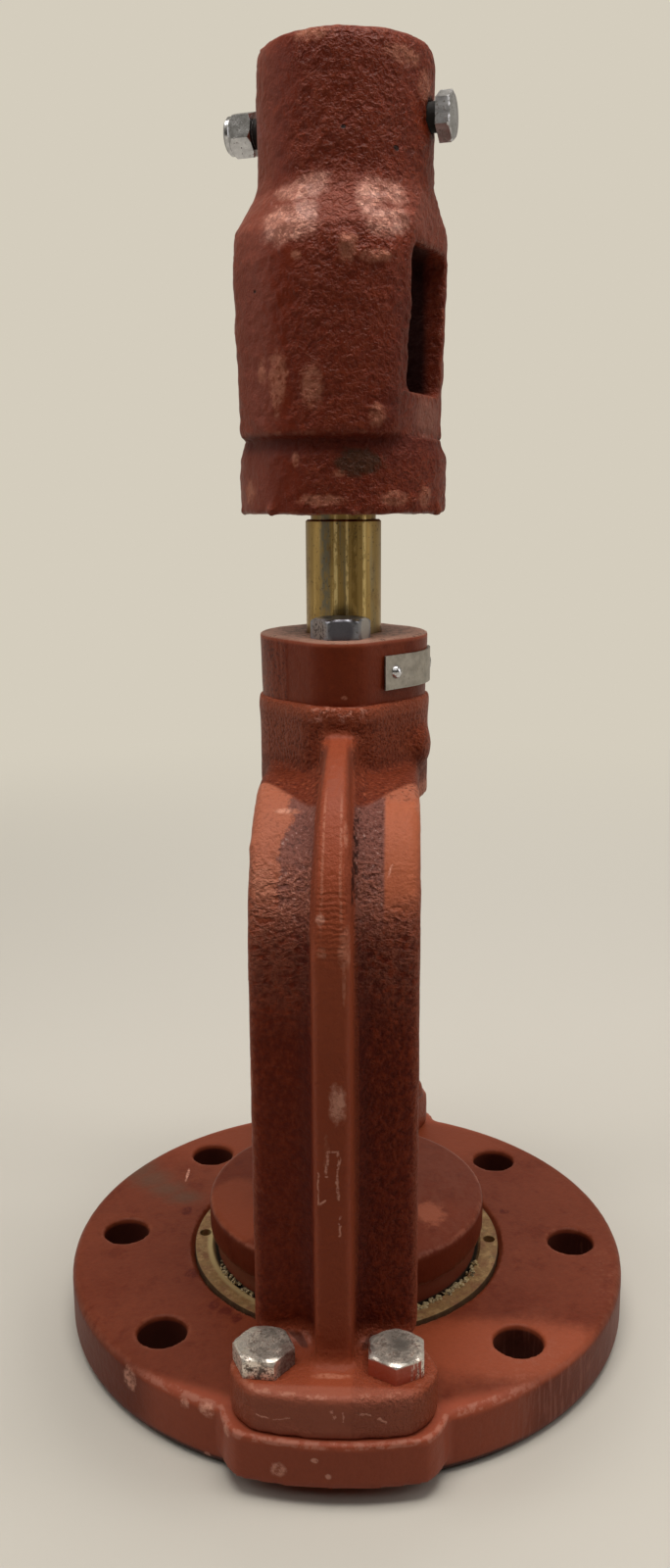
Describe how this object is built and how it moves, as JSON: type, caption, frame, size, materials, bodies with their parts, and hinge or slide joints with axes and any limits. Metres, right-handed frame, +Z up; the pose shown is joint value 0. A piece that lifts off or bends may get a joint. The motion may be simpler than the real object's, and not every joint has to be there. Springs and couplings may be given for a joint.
{
  "type": "non-rising-stem mud valve with extension coupling",
  "caption": "Cast-iron mud valve: round base flange and seat, two-legged yoke over a lifting disc, and a brass stem with a pinned pipe coupling.",
  "frame": {"origin": "centre of the base flange's underside, on the stem's axis", "axes": "+Z up the stem; the yoke's legs stand at -Y (front) and +Y (back); +X to the right seen from the front"},
  "size_m": [0.2306, 0.25, 0.485],
  "materials": {
    "primer_flange": "satin iron-oxide primer on a machined casting, scuffed",
    "primer_yoke": "iron-oxide primer on a sand casting",
    "primer_cap": "dark iron-oxide primer, satin",
    "primer_coupling": "iron-oxide primer on a coarse sand casting",
    "primer_disc": "satin iron-oxide primer",
    "seat_bronze": "stained, partly corroded bronze",
    "stem_brass": "turned brass, tarnished",
    "zinc_fastener": "zinc plate",
    "worn_fastener": "weathered plating with paint on its sides",
    "bright_fastener": "bright plate",
    "plate_aluminium": "blank, dull aluminium",
    "insert_nylon": "nylon"
  },
  "bodies": {
    "valve_frame": {"base_flange": "primer_flange", "seat_ring": "seat_bronze", "yoke": "primer_yoke", "yoke_cap": "primer_cap", "cap_bolt_front": "zinc_fastener", "cap_bolt_back": "zinc_fastener", "foot_bolt_front_left": "worn_fastener", "foot_bolt_front_right": "worn_fastener", "foot_bolt_back_left": "worn_fastener", "foot_bolt_back_right": "worn_fastener", "nameplate": "plate_aluminium", "nameplate_rivet_front": "bright_fastener", "nameplate_rivet_side": "bright_fastener"},
    "stem_assembly": {"stem": "stem_brass", "coupling": "primer_coupling", "stem_top_washer": "zinc_fastener", "stem_top_nut": "stem_brass", "coupling_bolt": "bright_fastener", "lock_nut": "bright_fastener", "lock_nut_insert": "insert_nylon"},
    "disc_assembly": {"disc": "primer_disc", "disc_facing_ring": "seat_bronze", "disc_nut": "seat_bronze"}
  },
  "joints": [
    {"name": "stem_turn", "type": "hinge", "parent": "valve_frame", "child": "stem_assembly", "pos_m": [0, 0, 0.27], "axis": [0, 0, 1], "range_deg": [0, 4320]},
    {"name": "disc_lift", "type": "slide", "parent": "valve_frame", "child": "disc_assembly", "axis": [0, 0, 1], "range_m": [0, 0.0762]}
  ],
  "couplings": [
    {"joint": "disc_lift", "follows": "stem_turn", "m_per_rad": 0.0010106}
  ]
}
